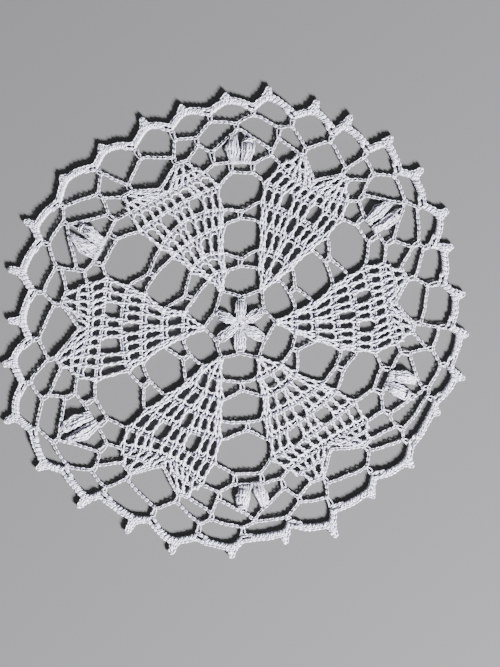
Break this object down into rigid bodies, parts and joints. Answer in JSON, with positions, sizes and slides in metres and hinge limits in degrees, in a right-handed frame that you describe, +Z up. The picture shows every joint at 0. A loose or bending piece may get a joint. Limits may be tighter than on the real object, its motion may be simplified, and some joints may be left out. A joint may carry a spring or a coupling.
{
  "type": "lace doily",
  "caption": "Round crocheted doily with leaf-shaped clusters, fans of mesh and a pointed border, laid under a vase, lamp or plate to protect the table and dress it",
  "frame": {"origin": "under the centre of the flower, on the underside of the doily", "axes": "+Z points up out of the flat doily, its thinnest direction; +X and +Y lie in its plane, with a fan's foot a few degrees from +X"},
  "size_m": [0.1797, 0.1817, 0.0028],
  "materials": {
    "cotton_thread": "soft matt white mercerised cotton thread"
  },
  "bodies": {
    "root": {"doily": "cotton_thread"}
  },
  "joints": []
}
